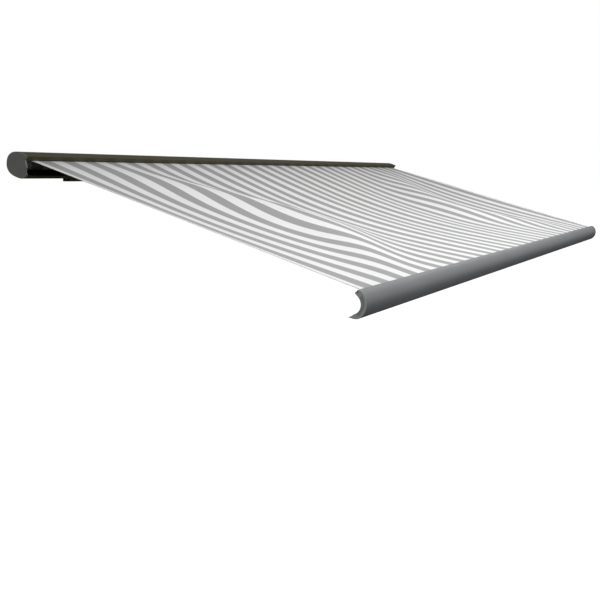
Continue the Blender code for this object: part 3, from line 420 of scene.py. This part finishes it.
def sag_at(x, share):
    """How far the cloth hangs below its straight line: the arms hold it up and it sags between them."""
    rise = 1 - math.exp((abs(x) - COVER_HALF) / EDGE_PULL)
    away = WIDTH / 2 - abs(x) - ridge_line(share)
    ridge = math.exp(-(away / (RIDGE_INNER_SPREAD if away > 0 else RIDGE_OUTER_SPREAD)) ** 2)
    hold = LEFT_HOLD if x < 0 else RIGHT_HOLD
    outward = max(0.0, math.sin(math.pi * share))
    ripple = RIPPLE * math.sin(2 * math.pi * x / RIPPLE_LENGTH + 2.2 * share)
    return outward * rise * (SAG * (1 - hold * ridge) + ripple * (1 - ridge))


def straight_height(x, b):
    """Height of the straight line from the roller's top to the front bar's groove."""
    return ROLLER_TOP_C + (GROOVE_C - ROLLER_TOP_C) * (b - ROLLER_B) / (COVER_END_B - ROLLER_B)


def sagging_height(x, b):
    share = min(1.0, max(0.0, (b - LIP_B) / (COVER_FREE_B - LIP_B)))
    return straight_height(x, b) - sag_at(x, share)


def hem_height(x, b):
    return sagging_height(x, b) + COVER_THICK / 2 + HEM_THICK / 2 + HAIR_GAP


def cloth_strip(name, columns, rows, sides, ends, height, finish, thick=COVER_THICK):
    """A strip of cloth between two sides and two distances out, at the height that a function gives."""
    deselect()
    bpy.ops.mesh.primitive_grid_add(x_subdivisions=columns, y_subdivisions=rows, size=1, calc_uvs=True)
    strip = bpy.context.object
    strip.name = name
    strip.data.name = name
    for vertex in strip.data.vertices:
        x = sides[0] + (vertex.co.x + 0.5) * (sides[1] - sides[0])
        b = ends[0] + (vertex.co.y + 0.5) * (ends[1] - ends[0])
        vertex.co = (x, -b, height(x, b))
    settle(strip)
    bpy.ops.object.mode_set(mode="EDIT")
    bpy.ops.mesh.select_all(action="SELECT")
    bpy.ops.mesh.normals_make_consistent(inside=False)
    bpy.ops.object.mode_set(mode="OBJECT")
    skin = strip.modifiers.new("cloth_thickness", "SOLIDIFY")
    skin.thickness = thick
    skin.offset = 0
    bpy.ops.object.modifier_apply(modifier=skin.name)
    bpy.ops.object.shade_smooth_by_angle(angle=math.radians(40))
    strip.data.materials.append(finish)
    return strip


cover = cloth_strip(
    "striped_cover", 240, 90, COVER_SIDES, (LIP_B, COVER_FREE_B), sagging_height, canvas)
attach(cover, "cassette")
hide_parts("fabric_cover")

cover_inner = cloth_strip(
    "cover_under_hood", 60, 4, COVER_SIDES, (ROLLER_B, LIP_B), straight_height, canvas)
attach(cover_inner, "cassette")

cover_lead = cloth_strip(
    "cover_front_lead", 60, 2, COVER_SIDES, (COVER_FREE_B, COVER_END_B), straight_height, canvas)
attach(cover_lead, "drop_bar")

hems = []
for name, side in (("left", -1), ("right", 1)):
    edges = sorted((side * COVER_HALF, side * (COVER_HALF - HEM_WIDTH)))
    hem = cloth_strip(
        "side_hem_" + name, 3, 90, edges, (LIP_B, COVER_FREE_B), hem_height, hem_cloth, HEM_THICK)
    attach(hem, "cassette")
    hems.append(hem)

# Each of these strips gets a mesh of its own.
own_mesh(cover_lead)
for strip in [cover] + hems:
    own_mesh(strip)


# Small parts

def finish_piece(piece, name, material, body, sloped=True):
    piece.name = name
    piece.data.name = name
    settle(piece, sloped)
    bpy.ops.object.shade_smooth_by_angle(angle=math.radians(30))
    piece.data.materials.append(material)
    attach(piece, body)


def bevel_all_edges(width, segments):
    bpy.ops.object.mode_set(mode="EDIT")
    bpy.ops.mesh.select_all(action="SELECT")
    bpy.ops.mesh.bevel(offset=width, segments=segments, affect="EDGES")
    bpy.ops.object.mode_set(mode="OBJECT")


def lip_seal_shadow_strip():
    """Black rubber seal on the hood's lip, just clear of the cloth; made tall and set before the lip, its
    dark face is a painted shadow line under the lip.
    """
    deselect()
    bpy.ops.mesh.primitive_cube_add(size=1, location=(0, -LIP_STRIP_CENTRE[0], LIP_STRIP_CENTRE[1]))
    seal_strip = bpy.context.object
    seal_strip.scale = LIP_STRIP_SIZE
    bpy.ops.object.transform_apply(location=False, rotation=False, scale=True)
    bevel_all_edges(0.0003, 2)
    finish_piece(seal_strip, "hood_lip_seal_shadow_strip", black_rubber, "cassette")


def anchor_bolt(x, z):
    """A hexagon head on a washer against a wall bracket's back plate, in the frame of the wall."""
    deselect()
    washer_y = -BRACKET_PLATE - HAIR_GAP - WASHER_THICK / 2
    head_y = washer_y - WASHER_THICK / 2 - HAIR_GAP - HEAD_THICK / 2
    bpy.ops.mesh.primitive_cylinder_add(
        vertices=24, radius=WASHER_RADIUS, depth=WASHER_THICK, location=(x, washer_y, z),
        rotation=(math.pi / 2, 0, 0))
    washer = bpy.context.object
    bpy.ops.mesh.primitive_cylinder_add(
        vertices=6, radius=HEAD_RADIUS, depth=HEAD_THICK, location=(x, head_y, z),
        rotation=(math.pi / 2, 0, 0))
    bpy.ops.object.transform_apply(location=True, rotation=True, scale=True)
    bevel_all_edges(0.0006, 1)
    washer.select_set(True)
    bpy.context.view_layer.objects.active = washer
    bpy.ops.object.join()
    return bpy.context.object


def anchor_bolts(name, middle):
    """The four bolts of one wall bracket."""
    bolts = [
        anchor_bolt(middle + shift, z) for shift in (-ANCHOR_SPREAD, ANCHOR_SPREAD) for z in ANCHOR_HEIGHTS]
    deselect()
    for bolt in bolts:
        bolt.select_set(True)
    bpy.context.view_layer.objects.active = bolts[0]
    bpy.ops.object.join()
    finish_piece(bpy.context.object, "wall_anchor_bolts_" + name, steel, "cassette", sloped=False)


def retaining_ring(name, x, b, c, pin_radius, body):
    """A flat spring ring round the lower end of a pin."""
    deselect()
    bpy.ops.mesh.primitive_cylinder_add(
        vertices=32, radius=pin_radius + RING_WIDTH, depth=RING_THICK, end_fill_type="NGON",
        location=(x, -b, c))
    ring = bpy.context.object
    bpy.ops.object.mode_set(mode="EDIT")
    bpy.ops.mesh.select_mode(type="FACE")
    bpy.ops.mesh.select_all(action="DESELECT")
    bpy.ops.object.mode_set(mode="OBJECT")
    for face in ring.data.polygons:
        face.select = abs(face.normal.z) > 0.9
    bpy.ops.object.mode_set(mode="EDIT")
    bpy.ops.mesh.inset(thickness=RING_WIDTH - HAIR_GAP, depth=0.0)
    bpy.ops.mesh.bridge_edge_loops()
    bpy.ops.object.mode_set(mode="OBJECT")
    finish_piece(ring, name, black_steel, body)


lip_seal_shadow_strip()
for name, middle in (("left", -BRACKET_X), ("centre", 0.0), ("right", BRACKET_X)):
    anchor_bolts(name, middle)
for name, x in (("left", -ARM_X), ("right", ARM_X)):
    retaining_ring("shoulder_ring_" + name, x, SHOULDER_B, SHOULDER_RING_C, SHOULDER_PIN_RADIUS, "cassette")
    retaining_ring("wrist_ring_" + name, x, WRIST_B, WRIST_RING_C, WRIST_PIN_RADIUS, "drop_bar")


# Floor, light and camera

def floor_material():
    """White to the camera, where it keeps the awning's shadow, and dark to the light that it throws back."""
    material, nodes, links, dark = new_material("studio_floor")
    dark.inputs["Base Color"].default_value = (0.14, 0.14, 0.14, 1)
    dark.inputs["Roughness"].default_value = 0.9
    seen = nodes.new("ShaderNodeLightPath")
    white = nodes.new("ShaderNodeBsdfDiffuse")
    white.inputs["Color"].default_value = (0.9, 0.9, 0.9, 1)
    glow = nodes.new("ShaderNodeEmission")
    glow.inputs["Strength"].default_value = 0.84
    both = nodes.new("ShaderNodeAddShader")
    links.new(white.outputs[0], both.inputs[0])
    links.new(glow.outputs[0], both.inputs[1])
    pick = nodes.new("ShaderNodeMixShader")
    links.new(seen.outputs["Is Camera Ray"], pick.inputs[0])
    links.new(dark.outputs[0], pick.inputs[1])
    links.new(both.outputs[0], pick.inputs[2])
    links.new(pick.outputs[0], nodes["Material Output"].inputs["Surface"])
    return material


def studio_world():
    """Soft light from all round, and plain white where the camera sees past the floor."""
    world = bpy.data.worlds.new("studio")
    bpy.context.scene.world = world
    world.use_nodes = True
    nodes, links = world.node_tree.nodes, world.node_tree.links
    around = nodes["Background"]
    around.inputs["Color"].default_value = (1, 1, 1, 1)
    around.inputs["Strength"].default_value = 0.31
    white = nodes.new("ShaderNodeBackground")
    white.inputs["Color"].default_value = (1, 1, 1, 1)
    white.inputs["Strength"].default_value = 1.0
    seen = nodes.new("ShaderNodeLightPath")
    pick = nodes.new("ShaderNodeMixShader")
    links.new(seen.outputs["Is Camera Ray"], pick.inputs[0])
    links.new(around.outputs[0], pick.inputs[1])
    links.new(white.outputs[0], pick.inputs[2])
    links.new(pick.outputs[0], nodes["World Output"].inputs["Surface"])


def soft_light(name, place, target, size, power, spread=180):
    light = bpy.data.lights.new(name, "AREA")
    light.shape = "RECTANGLE"
    light.size, light.size_y = size
    light.energy = power
    light.spread = math.radians(spread)
    lamp = bpy.data.objects.new(name, light)
    bpy.context.scene.collection.objects.link(lamp)
    lamp.location = place
    lamp.rotation_euler = (Vector(target) - Vector(place)).to_track_quat("-Z", "Y").to_euler()


def photo_camera():
    """Stands where the photo was taken from, left of the awning and before it, a little below its axis."""
    data = bpy.data.cameras.new("photo_camera")
    data.lens = 45.39
    data.sensor_width = 36
    data.clip_end = 400
    camera = bpy.data.objects.new("photo_camera", data)
    bpy.context.scene.collection.objects.link(camera)
    camera.location = (-WIDTH / 2 - CAMERA_BESIDE, -AXIS_FROM_WALL - CAMERA_BEFORE, -CAMERA_BELOW)
    camera.rotation_euler = (math.pi / 2 - CAMERA_TILT_DOWN, 0, CAMERA_TURN)
    bpy.context.scene.camera = camera


deselect()
bpy.ops.mesh.primitive_plane_add(size=FLOOR_SIZE, location=(0, 0, FLOOR_Z))
floor = bpy.context.object
floor.name = "studio_floor"
floor.data.materials.append(floor_material())

soft_light("long_strip_over_bar", (0, -3.1, 1.7), (0, -1.8, -0.5), (8, 1.0), 118)
soft_light("long_strip_before_bar", (0, -6.5, 0.2), (0, -2.6, -0.7), (8, 1.0), 48)
soft_light("left_side_fill", (-7.5, -0.8, 0.5), (-2.5, -1.0, -0.3), (2, 2), 45)
soft_light("under_cover_fill", (0.5, -1.25, -2.3), (0.5, -1.25, -0.4), (3.8, 1.0), 18, spread=80)
studio_world()
photo_camera()
bpy.context.scene.view_settings.view_transform = "Standard"
